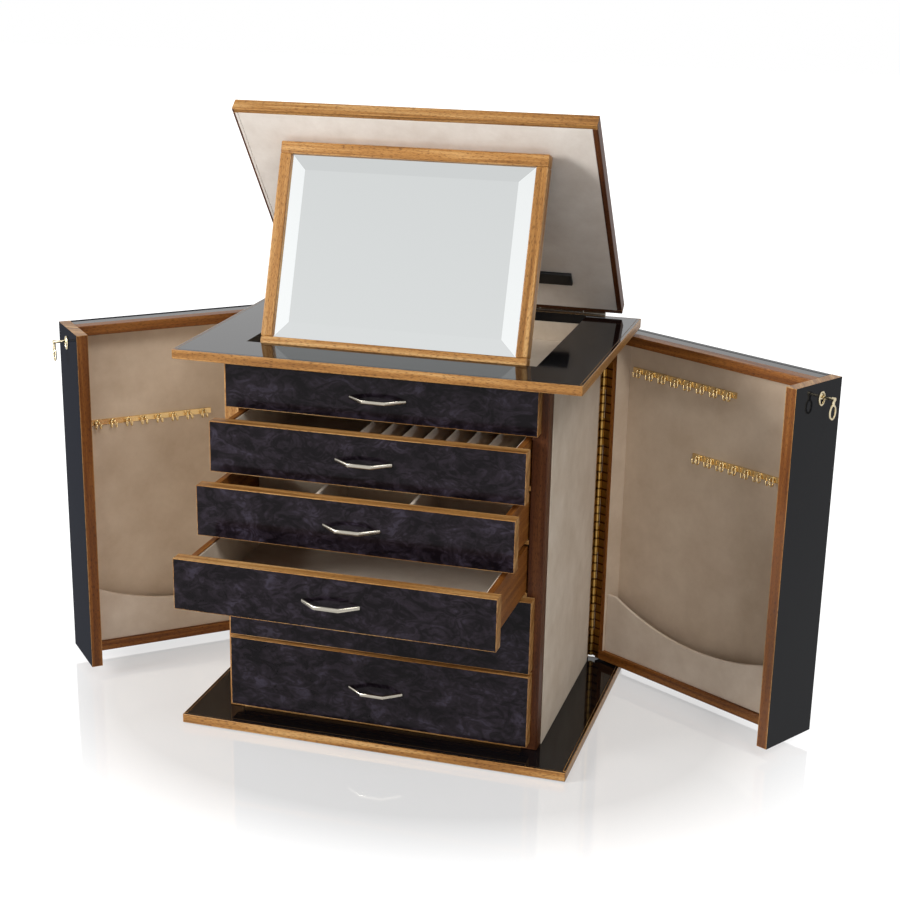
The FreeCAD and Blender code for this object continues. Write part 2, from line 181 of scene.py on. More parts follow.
def makeBurl(name):
    material, tree = newMaterial(name)
    where = add(tree, "ShaderNodeUVMap")
    face = add(tree, "ShaderNodeMapping", {"Vector": (where, "UV"), "Scale": (1.0, burlSet["squash"], 1.0)})
    warp = add(tree, "ShaderNodeTexNoise", {"Vector": (face, "Vector"), "Scale": perMetre(burlSet["curl"]),
                                            "Detail": 3.0, "Roughness": 0.55, "Distortion": 1.4})
    curl = add(tree, "ShaderNodeMath", {0: (warp, "Fac"), 1: burlSet["turns"]}, operation="MULTIPLY")
    wave = add(tree, "ShaderNodeMath", {0: (curl, 0)}, operation="SINE")
    cloud = add(tree, "ShaderNodeTexNoise", {"Vector": (face, "Vector"), "Scale": perMetre(burlSet["cloud"]),
                                             "Detail": 5.0, "Roughness": 0.65, "Distortion": 0.8})
    figure = add(tree, "ShaderNodeMath", {0: (wave, 0), 1: burlSet["curlDepth"], 2: (cloud, "Fac")},
                 operation="MULTIPLY_ADD")
    colour = add(tree, "ShaderNodeValToRGB", {"Fac": (figure, 0)},
                 stops=[(0.36, "#0d090d"), (0.48, "#191419"), (0.6, "#231d24"), (0.76, "#35303b")])
    add(tree, "Principled BSDF", {"Base Color": (colour, "Color"), "Roughness": 0.12, "IOR": 1.22})
    return material


# Sprayed black gloss lacquer on board: a deep sharp reflection with a faint ripple.
# The index is low on the doors, whose faces are seen almost edge on.
lacquerSet = {"ripple": 17.0}


def makeLacquer(name, code, index, rough):
    material, tree = newMaterial(name)
    where = add(tree, "ShaderNodeTexCoord")
    ripple = add(tree, "ShaderNodeTexNoise", {"Vector": (where, "Object"), "Detail": 1.0,
                                              "Scale": perMetre(lacquerSet["ripple"])})
    bump = add(tree, "ShaderNodeBump", {"Height": (ripple, "Fac"), "Strength": 0.02, "Distance": 0.0005})
    add(tree, "Principled BSDF", {"Base Color": linear(code), "Roughness": rough, "IOR": index,
                                  "Normal": (bump, "Normal")})
    return material


# Short-nap suede glued to board: dull, with a soft sheen, a cloudy nap and a fine grain.
# The grain is drawn a little coarse, so that it shows.
suedeSet = {"nap": 38.0, "grain": 0.67, "sheen": "#f4e9dc"}


def makeSuede(name, dark, light):
    material, tree = newMaterial(name)
    where = add(tree, "ShaderNodeTexCoord")
    nap = add(tree, "ShaderNodeTexNoise", {"Vector": (where, "Object"), "Scale": perMetre(suedeSet["nap"]),
                                           "Detail": 6.0, "Roughness": 0.65})
    colour = add(tree, "ShaderNodeValToRGB", {"Fac": (nap, "Fac")}, stops=[(0.32, dark), (0.68, light)])
    grain = add(tree, "ShaderNodeTexNoise", {"Vector": (where, "Object"), "Detail": 2.0,
                                             "Scale": perMetre(suedeSet["grain"])})
    bump = add(tree, "ShaderNodeBump", {"Height": (grain, "Fac"), "Strength": 0.25, "Distance": 0.0003})
    add(tree, "Principled BSDF", {"Base Color": (colour, "Color"), "Roughness": 0.95,
                                  "Specular IOR Level": 0.15, "Sheen Weight": 0.35, "Sheen Roughness": 0.5,
                                  "Sheen Tint": linear(suedeSet["sheen"]), "Normal": (bump, "Normal")})
    return material


# Rolled brass piano hinge, aged brown: short bright knuckles up the door with a dark seam between them,
# painted shade where the gaps would fall dark.
hingeSet = {"knuckle": 8.0, "seam": 0.2, "brass": "#ab894c", "shade": "#5a3f1c"}


def makeHinge(name):
    material, tree = newMaterial(name)
    where = add(tree, "ShaderNodeTexCoord")
    rise = add(tree, "ShaderNodeSeparateXYZ", {0: (where, "Object")})
    count = add(tree, "ShaderNodeMath", {0: (rise, "Z"), 1: perMetre(hingeSet["knuckle"])},
                operation="MULTIPLY")
    part = add(tree, "ShaderNodeMath", {0: (count, 0)}, operation="FRACT")
    # The seams between knuckles are painted shade.
    knuckle = add(tree, "ShaderNodeMath", {0: (part, 0), 1: hingeSet["seam"]}, operation="GREATER_THAN")
    colour = add(tree, "ShaderNodeMix", {"Factor": (knuckle, 0), 6: linear(hingeSet["shade"]),
                                         7: linear(hingeSet["brass"])}, data_type="RGBA")
    add(tree, "Principled BSDF", {"Base Color": (colour, 2), "Roughness": 0.3, "Metallic": 1.0})
    return material


# Metals, silvered glass, rubber and felt: one even colour and its own gloss.
def makePlain(name, code, rough, metallic=0.0):
    material, tree = newMaterial(name)
    add(tree, "Principled BSDF", {"Base Color": linear(code), "Roughness": rough, "Metallic": metallic})
    return material


honeyWood = makeWood("honeyBeech", "#744a20", "#a5753e", "#cfa66e", 0.36)  # warm, pale lippings and edges
railWood = makeWood("brownMahogany", "#5a3112", "#804c1d", "#9f6a33", 0.4)  # mid brown rails and drawer boxes
returnWood = makeWood("redMahogany", "#4f290a", "#714014", "#905b27", 0.4)  # redder, deeper return boards
# A darker copy of the wood is painted shade, for boards that stay in shade.
shadeWood = makeWood("shadedMahogany", "#3a1c0c", "#532c13", "#6b4020", 0.45)  # boards that stay in shade
burl = makeBurl("blackBurlVeneer")
lacquer = makeLacquer("blackLacquer", "#0c0c0f", 1.42, 0.06)  # plates, lid and back
# The doors' black lacquer in two copies: the left one's blue tint is a painted reflection of cold light.
doorLacquer = {"left": makeLacquer("blueReflectionLacquer", "#10131c", 1.028, 0.1),
               "right": makeLacquer("greyBlackLacquer", "#16171b", 1.2, 0.07)}
suede = makeSuede("beigeSuede", "#bfae99", "#d3c6b5")  # drawers, sides and recess
doorSuede = makeSuede("warmGlowSuede", "#bfaa93", "#cfbca6")  # warmer inside the doors, a painted warm glow of light
pocketSuede = makeSuede("sandSuede", "#cbb9a6", "#dccdbc")  # a shade lighter than its door
lidSuede = makeSuede("paleSuede", "#d9cec3", "#ebe3da")  # near white
hookBrass = makePlain("polishedBrass", "#efd6a2", 0.22, 1.0)  # bright yellow glints
keyGold = makePlain("wornGoldPlate", "#d9cbaa", 0.18, 1.0)  # pale gold, nearly silver
hingeBrass = makeHinge("agedBrassHinge")
nickel = makePlain("satinNickel", "#b0aa9e", 0.24, 1.0)  # warm grey with a soft shine
mirrorGlass = makePlain("silveredGlass", "#dbdede", 0.01, 1.0)  # sharp and faintly grey
bevelGlass = makePlain("bevelPaintedReflection", "#f7fafa", 0.03, 1.0)  # painted reflection of the white room
rubber = makePlain("blackRubber", "#0b0b0c", 0.6)  # dull black, moulded
felt = makePlain("blackFelt", "#0d0d0d", 0.95)  # matt black, pressed
print("materials made")


# Makes a piece from faces of (points, uv pairs, material index, smooth), with the points in place at rest.
def finishMesh(name, body, materials, faces, replaced=()):
    verts, polys, uvs, index = [], [], [], {}
    for points, pairs, mark, soft in faces:
        poly = []
        for point in points:
            key = tuple(round(c, pointDigits) for c in point)
            if key not in index:
                index[key] = len(verts)
                verts.append(key)
            poly.append(index[key])
        polys.append(poly)
        uvs.extend(pairs)
    mesh = bpy.data.meshes.new(name)
    mesh.from_pydata(verts, [], polys)
    layer = mesh.uv_layers.new(name="UVMap")
    for loop, pair in zip(layer.data, uvs):
        loop.uv = pair
    for material in materials:
        mesh.materials.append(material)
    mesh.polygons.foreach_set("material_index", [face[2] for face in faces])
    mesh.polygons.foreach_set("use_smooth", [face[3] for face in faces])
    mesh.update()
    piece = bpy.data.objects.new(name, mesh)
    scene.collection.objects.link(piece)
    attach(piece, body)
    if replaced:
        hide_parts(*replaced)
    return piece


flatAngle = 0.01  # radians; faces this nearly level are one
sharpAngle = 0.5  # radians; edges past it are rounded
bendAngle = 0.6  # radians; bends in metal past it stay sharp
roundSteps = 2  # faces across a rounded edge
roundShape = 0.6  # 0.5 is a true arc and more is fuller
tightBend = 0.4  # a bend tighter than this cosine is widened no further
endGrain = 0.3  # a face that shows less of the grain's run than this is end grain
grainSpread = 3.0  # metres of figure in which each board finds its own start


# Boards that only touch share edges with more than two faces, so a walk over plain edges keeps them apart.
def islands(bm):
    left = set(bm.faces)
    groups = []
    while left:
        queue = [left.pop()]
        group = list(queue)
        while queue:
            for edge in queue.pop().edges:
                for face in edge.link_faces if len(edge.link_faces) == 2 else ():
                    if face in left:
                        left.remove(face)
                        group.append(face)
                        queue.append(face)
        groups.append(group)
    return groups


# A merged copy of a node's mesh.
def nodeCopy(node):
    bm = bmesh.new()
    bm.from_mesh(nodes[node].data)
    bmesh.ops.remove_doubles(bm, verts=bm.verts, dist=merge)
    bmesh.ops.dissolve_limit(bm, angle_limit=flatAngle, verts=bm.verts, edges=bm.edges)
    bm.faces.ensure_lookup_table()
    return bm


# The grain runs along a board's longest straight edge.
def grainLine(bm):
    lengths = [edge.calc_length() for edge in bm.edges]
    first, last = bm.edges[:][lengths.index(max(lengths))].verts
    along = (last.co - first.co).normalized()
    reach = [abs(c) for c in along]
    return along if along[reach.index(max(reach))] > 0 else -along


# Faces of one board with UV in metres, U along the grain.
def unwrap(bm, grain, shift):
    faces = []
    for face in bm.faces:
        n = face.normal
        along = grain - n * grain.dot(n)
        if along.length < endGrain:
            along = n.orthogonal()
        along.normalize()
        across = n.cross(along)
        pairs = [(v.co.dot(along) + shift[0], v.co.dot(across) + shift[1]) for v in face.verts]
        soft = len(face.verts) == 4 and face.tag
        faces.append(([tuple(v.co) for v in face.verts], pairs, face.material_index, soft))
    return faces


# Rounds edges over and tags the narrow new faces, which are shaded smooth.
def roundEdges(bm, edges, width):
    for face in bm.faces:
        face.tag = False
    if width:
        made = bmesh.ops.bevel(bm, geom=edges, offset=width * mm, segments=roundSteps, profile=roundShape,
                               affect="EDGES", clamp_overlap=True, material=-1)
        for face in made["faces"]:
            face.tag = True
    bm.normal_update()


def moveFaces(faces, move):
    moved = []
    for points, pairs, mark, soft in faces:
        moved.append(([tuple(move @ Vector(p)) for p in points], pairs, mark, soft))
    return moved


# Boards and faces are taken in the mesh's own order, so that every run draws the same grain.
def faceOrder(face):
    return face.index


def islandOrder(group):
    return min(face.index for face in group)


# A finished copy of a node's boards. With the body closed, rule(normal, centre) gives a material index,
# a border width and the border's index. The cut planes part the faces first; trim comes off the rear.
def board(node, materials, rule=None, width=0.5, cut=(), name=None, seed=1, trim=0.0):
    body = nodes[node]["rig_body"]
    move = placed(body)
    back = move.inverted()
    source = nodeCopy(node)
    random.seed(seed)
    faces = []
    for group in sorted(islands(source), key=islandOrder):
        part = bmesh.new()
        index = {}
        for face in sorted(group, key=faceOrder):
            for v in face.verts:
                if v not in index:
                    index[v] = part.verts.new(back @ v.co)
            part.faces.new([index[v] for v in face.verts])
        rear = max(v.co.y for v in part.verts)
        for v in part.verts:
            if v.co.y > rear - merge:
                v.co.y -= trim * mm
        bmesh.ops.recalc_face_normals(part, faces=part.faces)
        for point, normal in cut:
            bmesh.ops.bisect_plane(part, geom=part.verts[:] + part.edges[:] + part.faces[:],
                                   plane_co=Vector(point) * mm, plane_no=Vector(normal), dist=merge)
        part.normal_update()
        for face in list(part.faces):
            middle = face.calc_center_median() / mm
            mark, border, edgeMark = rule(face.normal, middle) if rule else (0, 0, 0)
            face.material_index = mark
            if border:
                made = bmesh.ops.inset_individual(part, faces=[face], thickness=border * mm)
                for ring in made["faces"]:
                    ring.material_index = edgeMark
        grain = grainLine(part)
        sharp = [e for e in part.edges if len(e.link_faces) == 2 and e.calc_face_angle(0) > sharpAngle]
        roundEdges(part, sharp, width)
        faces += unwrap(part, grain, (random.random() * grainSpread, random.random() * grainSpread))
        part.free()
    source.free()
    return finishMesh(name or node + "_finish", body, materials, moveFaces(faces, move), [node])


def boxQuads(low, high):
    c = [(x, y, z) for x in (low[0], high[0]) for y in (low[1], high[1]) for z in (low[2], high[2])]
    order = [(0, 1, 3, 2), (4, 6, 7, 5), (0, 4, 5, 1), (2, 3, 7, 6), (0, 2, 6, 4), (1, 5, 7, 3)]
    return [[c[i] for i in quad] for quad in order]


# Merged, outward-facing mesh from quads in millimetres.
def quadMesh(quads):
    bm = bmesh.new()
    for quad in quads:
        bm.faces.new([bm.verts.new(Vector(p) * mm) for p in quad])
    bmesh.ops.remove_doubles(bm, verts=bm.verts, dist=weld)
    bmesh.ops.recalc_face_normals(bm, faces=bm.faces)
    return bm


# Softly edged slabs given by their corners with the body closed.
def slabs(name, body, corners, material, width, seed=3):
    random.seed(seed)
    faces = []
    for low, high in corners:
        part = quadMesh(boxQuads(low, high))
        grain = grainLine(part)
        roundEdges(part, part.edges[:], width)
        faces += unwrap(part, grain, (random.random(), random.random()))
        part.free()
    return finishMesh(name, body, [material], moveFaces(faces, placed(body)), ())


# A tube swept along a path; section is a list of (across, up) offsets in millimetres.
def sweep(path, section, closed, up):
    path = [Vector(p) for p in path]
    count = len(path)
    rings = []
    for i, point in enumerate(path):
        before = path[i - 1] if closed or i > 0 else None
        after = path[(i + 1) % count] if closed or i < count - 1 else None
        second = (after - point).normalized() if after else (point - before).normalized()
        first = (point - before).normalized() if before else second
        along = (first + second).normalized()
        side = along.cross(Vector(up)).normalized()
        top = side.cross(along).normalized()
        widen = 1 / max(tightBend, along.dot(first))  # keeps the width round a bend
        rings.append([point + side * a * widen + top * b for a, b in section])
    quads = []
    for i in range(count if closed else count - 1):
        one, two = rings[i], rings[(i + 1) % count]
        for j in range(len(section)):
            k = (j + 1) % len(section)
            quads.append([one[j], one[k], two[k], two[j]])
    if not closed:
        quads += [rings[0][::-1], rings[-1]]
    return quads


def circle(radius, count):
    turns = [2 * math.pi * i / count for i in range(count)]
    return [(radius * math.cos(a), radius * math.sin(a)) for a in turns]


def roundedBar(wide, tall, radius, steps):
    points = []
    for cx, cy, start in ((1, 1, 0), (-1, 1, 90), (-1, -1, 180), (1, -1, 270)):
        for i in range(steps + 1):
            a = math.radians(start + 90 * i / steps)
            x = cx * (wide / 2 - radius) + radius * math.cos(a)
            points.append((x, cy * (tall / 2 - radius) + radius * math.sin(a)))
    return points


# Faces of a metal piece, which has no grain to follow.
def plainFaces(bm):
    faces = []
    for face in bm.faces:
        faces.append(([tuple(v.co) for v in face.verts], [(0, 0)] * len(face.verts), 0, face.smooth))
    bm.free()
    return faces


# A metal piece from quads drawn with its carrier closed; ends stay flat and bends stay sharp.
def metal(name, body, quads, material, replaced, carrier=None):
    part = quadMesh(quads)
    for face in part.faces:
        face.smooth = len(face.verts) == 4
    faces = plainFaces(part)
    piece = finishMesh(name, body, [material], moveFaces(faces, placed(carrier or body)), replaced)
    piece.data.set_sharp_from_angle(angle=bendAngle)
    return piece


# A node that shows as it is takes only a material.
def paint(node, material):
    nodes[node].data.materials.clear()
    nodes[node].data.materials.append(material)


# Plates: black faces, wood only on the edges.
plateSet = {"edgeLine": 0.8, "round": 0.9, "seam": 0.05}


def plateRule(n, c):
    return (1, plateSet["edgeLine"], 0) if abs(n.z) > facing else (0, 0, 0)


for level in ("base", "top"):
    board(level + "_plate", [lacquer], width=plateSet["seam"])
    board(level + "_lipping", [honeyWood, lacquer], plateRule, width=plateSet["round"])
paint("base_felt", felt)
print("plates done")

# Carcass: the left post stands in the light and is painted paler as painted light, the right one darker as
# painted shade; the recess is suede with a black back.
carcassSet = {"round": 0.4, "postRound": 0.8, "trayRound": 0.3, "trayBack": 1.0}
trayRear = closedBox("top_tray")[1].y


# Painted light and shade: honey wood on the left post, which stands in the light, shaded wood on the right.
def litPostRule(n, c):
    return (0, 0, 0) if c.x > 0 else (1, 0, 0)


def trayRule(n, c):
    return (1, 0, 0) if n.y > facing and c.y > trayRear - carcassSet["trayBack"] else (0, 0, 0)


board("side_panels", [shadeWood], width=carcassSet["round"])
board("front_posts", [shadeWood, honeyWood], litPostRule, width=carcassSet["postRound"])
board("drawer_shelves", [honeyWood], width=carcassSet["round"])
board("back_panel", [lacquer], width=carcassSet["round"])
board("side_linings", [suede], width=carcassSet["round"])
board("top_tray", [suede, lacquer], trayRule, width=carcassSet["trayRound"])
for name in nodes:
    if "hinge" in name or name == "mirror_pivots":
        paint(name, hingeBrass if name.startswith("door") else nickel)
print("carcass done")

# Drawers: burl faces with a thin wood line round them, wood boxes lined with suede, bent bow pulls.
drawerSet = {"count": 6, "faceLine": 0.75, "rearGap": 0.15, "round": 0.7, "boxBoard": 5.0, "boxFloor": 3.0,
             "liningThick": 1.2, "liningDrop": 1.0, "liningRound": 0.25, "edge": 1.0, "divided": 3,
             "frontSeed": 20, "boxSeed": 40}
pullSet = {"span": 23.2, "middle": 9.6, "reach": 10.8, "root": 0.2, "strap": 2.4, "tall": 3.5, "round": 1.1,
           "roundSteps": 3}


def frontRule(n, c):
    return (1, drawerSet["faceLine"], 0) if n.y < -facing else (0, 0, 0)


# Suede on the dividers and inside walls of the divided drawer.
def dividedRule(n, c):
    low, high = closedBox("drawer_%d_box" % drawerSet["divided"])
    wall = drawerSet["boxBoard"] + drawerSet["edge"]
    inside = abs(c.x) < high.x - wall and c.y < high.y - wall
    return (1, 0, 0) if inside and c.z > low.z + drawerSet["boxFloor"] + drawerSet["edge"] else (0, 0, 0)


def liningSlabs(low, high, walls):
    thick, wall = drawerSet["liningThick"], drawerSet["boxBoard"]
    x0, x1 = low.x + wall, high.x - wall
    y0, y1 = low.y, high.y - wall
    z0, z1 = low.z + drawerSet["boxFloor"], high.z - drawerSet["liningDrop"]
    zf = z0 + thick
    corners = [((x0, y0, z0), (x1, y1, zf))]
    if walls:
        corners.append(((x0, y0, zf), (x0 + thick, y1, z1)))
        corners.append(((x1 - thick, y0, zf), (x1, y1, z1)))
        corners.append(((x0 + thick, y0, zf), (x1 - thick, y0 + thick, z1)))
        corners.append(((x0 + thick, y1 - thick, zf), (x1 - thick, y1, z1)))
    return corners


def pullQuads(face, z):
    span, middle = pullSet["span"], pullSet["middle"]
    out, root = face - pullSet["reach"], face + pullSet["root"]
    path = [(-span, root, z), (-middle, out, z), (middle, out, z), (span, root, z)]
    bar = roundedBar(pullSet["strap"], pullSet["tall"], pullSet["round"], pullSet["roundSteps"])
    return sweep(path, bar, False, (0, 0, 1))


for n in range(1, drawerSet["count"] + 1):
    body = "drawer_%d" % n
    divided = n == drawerSet["divided"]
    board(body + "_front", [honeyWood, burl], frontRule, width=drawerSet["round"],
          seed=drawerSet["frontSeed"] + n, trim=drawerSet["rearGap"])
    board(body + "_box", [railWood, suede], dividedRule if divided else None,
          seed=drawerSet["boxSeed"] + n)
    low, high = closedBox(body + "_box")
    lining = liningSlabs(low, high, not divided)
    slabs(body + "_lining", body, lining, suede, drawerSet["liningRound"])
    low, high = closedBox(body + "_front")
    pull = pullQuads(low.y, (low.z + high.z) / 2)
    metal(body + "_pull_bow", body, pull, nickel, [body + "_pull"])
print("drawers done")

# Ring rolls: foam rolls covered in suede, pressed side by side.
rolls = board("drawer_2_ring_rolls", [suede], width=0, name="ringRolls")
for face in rolls.data.polygons:
    face.use_smooth = True

# Lid: black outside, honey wood at front, dark sides with a thin dark line at the left of the lining,
# the sides and the line in the shaded wood as painted shade.
lidSet = {"edgeLine": 1.0, "round": 0.9, "darkLine": 2.0, "overlap": 0.5, "liningRound": 0.2,
          "bufferRound": 0.8}
lidLow = closedBox("lid_lipping")[0]
liningHigh = closedBox("lid_lining")[1]
darkStart = lidLow.x + lidSet["darkLine"]


def lidRule(n, c):
    if n.z > facing:
        return 1, lidSet["edgeLine"], 0
    if abs(n.x) > facing or (n.z < -facing and c.y > liningHigh.y):
        return 3, 0, 0
    if n.z < -facing and abs(c.x) > liningHigh.x - lidSet["overlap"]:
        return (2, 0, 0) if darkStart < c.x < 0 else (3, 0, 0)
    return 0, 0, 0


board("lid_lipping", [honeyWood, lacquer, lidSuede, shadeWood], lidRule, width=lidSet["round"],
      cut=[((darkStart, 0, 0), (1, 0, 0))])
board("lid_board", [lacquer], width=plateSet["seam"])
board("lid_lining", [lidSuede], width=lidSet["liningRound"])
board("lid_buffer", [rubber], width=lidSet["bufferRound"])

# Mirror: the bevels at its two sides are painted brighter than the glass, a painted reflection.
mirrorSet = {"frameRound": 1.0, "backRound": 0.2, "upward": 0.2, "tilt": 0.02}


def glassRule(n, c):
    return (1, 0, 0) if n.z > mirrorSet["upward"] and abs(n.x) > mirrorSet["tilt"] else (0, 0, 0)


board("mirror_frame", [honeyWood], width=mirrorSet["frameRound"])
board("mirror_backboard", [shadeWood], width=mirrorSet["backRound"])
board("mirror_glass", [mirrorGlass, bevelGlass], glassRule, width=0)
print("lid and mirror done")

# Side doors: black outside and on top, wood inside the frame, suede lining, a dark strip in the hinge gap
# as painted shade.
doorSet = {"edgeLine": 0.8, "round": 0.8, "railRound": 0.6, "liningRound": 0.2, "topReach": 20.0,
           "strip": 1.0, "stripDeep": 1.6, "stripRound": 0.1}
railLow, railHigh = closedBox("door_right_rails")
railMiddle = (railLow.x + railHigh.x) / 2


def returnRule(n, c):
    if n.z > facing:
        return 2, 0, 0
    if n.y < -facing or n.x * c.x > facing * abs(c.x):
        return 1, 0, 0
    return (0, doorSet["edgeLine"], 2) if abs(n.x) > facing else (0, 0, 0)


def railRule(n, c):
    if n.z > facing and c.z > railHigh.z - doorSet["topReach"] and abs(c.x) > railMiddle:
        return 1, 0, 0
    return (2, 0, 0) if n.y < -facing and c.y > railHigh.y - doorSet["topReach"] else (0, 0, 0)


for side, sign in (("left", -1), ("right", 1)):
    body = side + "_door"
    start = "door_" + side + "_"
    black = doorLacquer[side]
    board(start + "panel", [black], width=doorSet["round"])
    board(start + "return", [returnWood, black, honeyWood], returnRule, width=doorSet["round"])
    board(start + "rails", [railWood, lacquer, doorSuede], railRule, width=doorSet["railRound"],
          cut=[((sign * railMiddle, 0, 0), (1, 0, 0))])
    board(start + "lining", [doorSuede], width=doorSet["liningRound"])
    board(start + "pocket", [pocketSuede], width=doorSet["round"])
    leafLow, leafHigh = closedBox(start + "hinge_leaf")
    # A strip of the shaded wood fills the hinge gap: a dark sheet put where there is shade.
    edge = sorted((sign * (railLow.x - doorSet["strip"]), sign * railLow.x))
    strip = [((edge[0], railHigh.y, leafLow.z), (edge[1], railHigh.y + doorSet["stripDeep"], leafHigh.z))]
    slabs(start + "hinge_strip", body, strip, shadeWood, doorSet["stripRound"])
print("doors done")

# One double hook: two bent wires side by side, rooted on the rail's face and turned up at their tips.
# The root lists each point of the wire before its bend: out from the face, share of the spread, height.
hookSet = {"wire": 0.7, "drop": 4.6, "out": 4.2, "tip": 3.0, "lean": 0.3, "spread": 4.4, "bend": 1.6,
           "sag": 1.8, "root": ((-0.4, 0.5, 1.2), (1.0, 0.6, 1.1), (1.6, 0.8, -0.4)), "steps": 8, "sides": 8,
           "screw": 1.1, "screwHeight": 1.4, "screwIn": 0.2, "screwOut": 0.5, "screwSides": 10}
railSet = {"thick": 1.5, "below": 2.4, "above": 2.6, "leastLength": 20.0, "slack": 1.0}


def hookMesh():
    quads = []
    bend, foot = hookSet["bend"], hookSet["bend"] - hookSet["drop"]
    for side in (-0.5, 0.5):
        y = side * hookSet["spread"]
        path = [(-out, y * share, height) for out, share, height in hookSet["root"]]
        for i in range(hookSet["steps"] + 1):
            a = math.pi * i / hookSet["steps"]
            x = -bend - hookSet["out"] / 2 * (1 - math.cos(a))
            path.append((x, y, foot - hookSet["sag"] * math.sin(a)))
        path.append((-bend - hookSet["out"] - hookSet["lean"], y, foot + hookSet["tip"]))
        quads += sweep(path, circle(hookSet["wire"], hookSet["sides"]), False, (0, 1, 0))
    height = hookSet["screwHeight"]
    screw = [(hookSet["screwIn"], 0, height), (-hookSet["screwOut"], 0, height)]
    quads += sweep(screw, circle(hookSet["screw"], hookSet["screwSides"]), False, (0, 0, 1))
    part = quadMesh(quads)
    mesh = bpy.data.meshes.new("hookShape")
    part.to_mesh(mesh)
    part.free()
    for face in mesh.polygons:
        face.use_smooth = True
    return mesh


# A Geometry Nodes row: a line of points, one shape on each, made real and given its material.
def rowTree():
    tree = bpy.data.node_groups.new("shapeRow", "GeometryNodeTree")
    sockets = tree.interface
    sockets.new_socket("Geometry", in_out="INPUT", socket_type="NodeSocketGeometry")
    for label, kind in (("Shape", "Object"), ("Count", "Int"), ("Start", "Vector"), ("Step", "Vector"),
                        ("Finish", "Material")):
        sockets.new_socket(label, in_out="INPUT", socket_type="NodeSocket" + kind)
    sockets.new_socket("Geometry", in_out="OUTPUT", socket_type="NodeSocketGeometry")
    given = add(tree, "NodeGroupInput")
    line = add(tree, "GeometryNodeMeshLine", {"Count": (given, "Count"), "Start Location": (given, "Start"),
                                              "Offset": (given, "Step")})
    shape = add(tree, "GeometryNodeObjectInfo", {"Object": (given, "Shape")})
    spread = add(tree, "GeometryNodeInstanceOnPoints", {"Points": (line, "Mesh"),
                                                        "Instance": (shape, "Geometry")})
    real = add(tree, "GeometryNodeRealizeInstances", {"Geometry": (spread, "Instances")})
    painted = add(tree, "GeometryNodeSetMaterial", {"Geometry": (real, "Geometry"),
                                                    "Material": (given, "Finish")})
    add(tree, "NodeGroupOutput", {"Geometry": (painted, "Geometry")})
    return tree


def rowMesh(tree, **values):
    holder = bpy.data.objects.new("rowHolder", bpy.data.meshes.new("rowHolder"))
    scene.collection.objects.link(holder)
    modifier = holder.modifiers.new("row", "NODES")
    modifier.node_group = tree
    for item in tree.interface.items_tree:
        if item.in_out == "INPUT" and item.name in values:
            modifier[item.identifier] = values[item.name]
    bpy.context.view_layer.update()
    mesh = bpy.data.meshes.new_from_object(holder.evaluated_get(bpy.context.evaluated_depsgraph_get()))
    bpy.data.objects.remove(holder)
    return mesh


# Corners of each separate solid in a node with its body closed, in millimetres.
def closedParts(node):
    back = placed(nodes[node]["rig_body"]).inverted()
    source = nodeCopy(node)
    parts = []
    for group in sorted(islands(source), key=islandOrder):
        parts.append(lowAndHigh([(back @ v.co) / mm for face in group for v in face.verts]))
    source.free()
    return parts


# Each hook rail as its corners and its count of hooks.
def hookRails(node):
    parts = closedParts(node)
    rails = [part for part in parts if part[1].y - part[0].y > railSet["leastLength"]]
    hooks = [part for part in parts if part not in rails]
    found = []
    for low, high in rails:
        bottom, top = low.z - railSet["slack"], high.z + railSet["slack"]
        mine = [hook for hook in hooks if low.y < hook[0].y < high.y and bottom < hook[1].z < top]
        found.append((low, high, len(mine)))
    return found


# Both doors' hook rails are drawn as the right door's, and the left one's are then mirrored.
def railPiece(side, sign, tree, shape):
    node = "door_%s_hook_rails" % side
    joined = bmesh.new()
    for low, high, count in hookRails(node):
        z = (low.z + high.z) / 2
        wall = max(abs(low.x), abs(high.x))
        step = (high.y - low.y) / count
        front = wall - railSet["thick"]
        hooks = rowMesh(tree, Shape=shape, Count=count, Start=Vector((front, low.y + step / 2, z)) * mm,
                        Step=Vector((0, step, 0)) * mm, Finish=hookBrass)
        joined.from_mesh(hooks)
        bpy.data.meshes.remove(hooks)
        plate = boxQuads((front, low.y, z - railSet["below"]), (wall, high.y, z + railSet["above"]))
        for quad in plate:
            joined.faces.new([joined.verts.new(Vector(p) * mm) for p in quad])
    bmesh.ops.remove_doubles(joined, verts=joined.verts, dist=weld)
    bmesh.ops.transform(joined, matrix=Matrix.Diagonal((sign, 1, 1, 1)), verts=joined.verts)
    bmesh.ops.recalc_face_normals(joined, faces=joined.faces)
    body = side + "_door"
    faces = moveFaces(plainFaces(joined), placed(body))
    finishMesh(side + "HookRails", body, [hookBrass], faces, [node])


# Lock: an oval ring round a short barrel. Key: a shank with a collar, and a hanging oval bow.
lockSet = {"ringDrop": 1.5, "ringWide": 3.2, "ringTall": 5.4, "ringWire": 0.8, "ringOut": 0.5, "barrel": 2.2,
           "barrelOut": 0.3, "depth": 4.0, "sides": 20}
keySet = {"length": 12.0, "start": 0.5, "shank": 1.2, "collar": 1.9, "collarIn": 1.6, "collarOut": 0.6,
          "hang": 0.6, "stem": 1.3, "stemTop": 1.0, "stemDrop": 5.4, "bowDrop": 5.0, "bowWide": 3.6,
          "bowTall": 5.6, "bowWire": 0.85, "shankSides": 14, "collarSides": 18, "stemSides": 12}
ovalSet = {"points": 32, "sides": 10}


def ovalPath(x, y, z, wide, tall):
    return [(x + a, y, z + b * tall / wide) for a, b in circle(wide, ovalSet["points"])]


def lockQuads(x, face, z):
    middle = z - lockSet["ringDrop"]
    ring = ovalPath(x, face - lockSet["ringOut"], middle, lockSet["ringWide"], lockSet["ringTall"])
    quads = sweep(ring, circle(lockSet["ringWire"], ovalSet["sides"]), True, (0, 1, 0))
    barrel = [(x, face + lockSet["depth"], z), (x, face - lockSet["barrelOut"], z)]
    return quads + sweep(barrel, circle(lockSet["barrel"], lockSet["sides"]), False, (0, 0, 1))


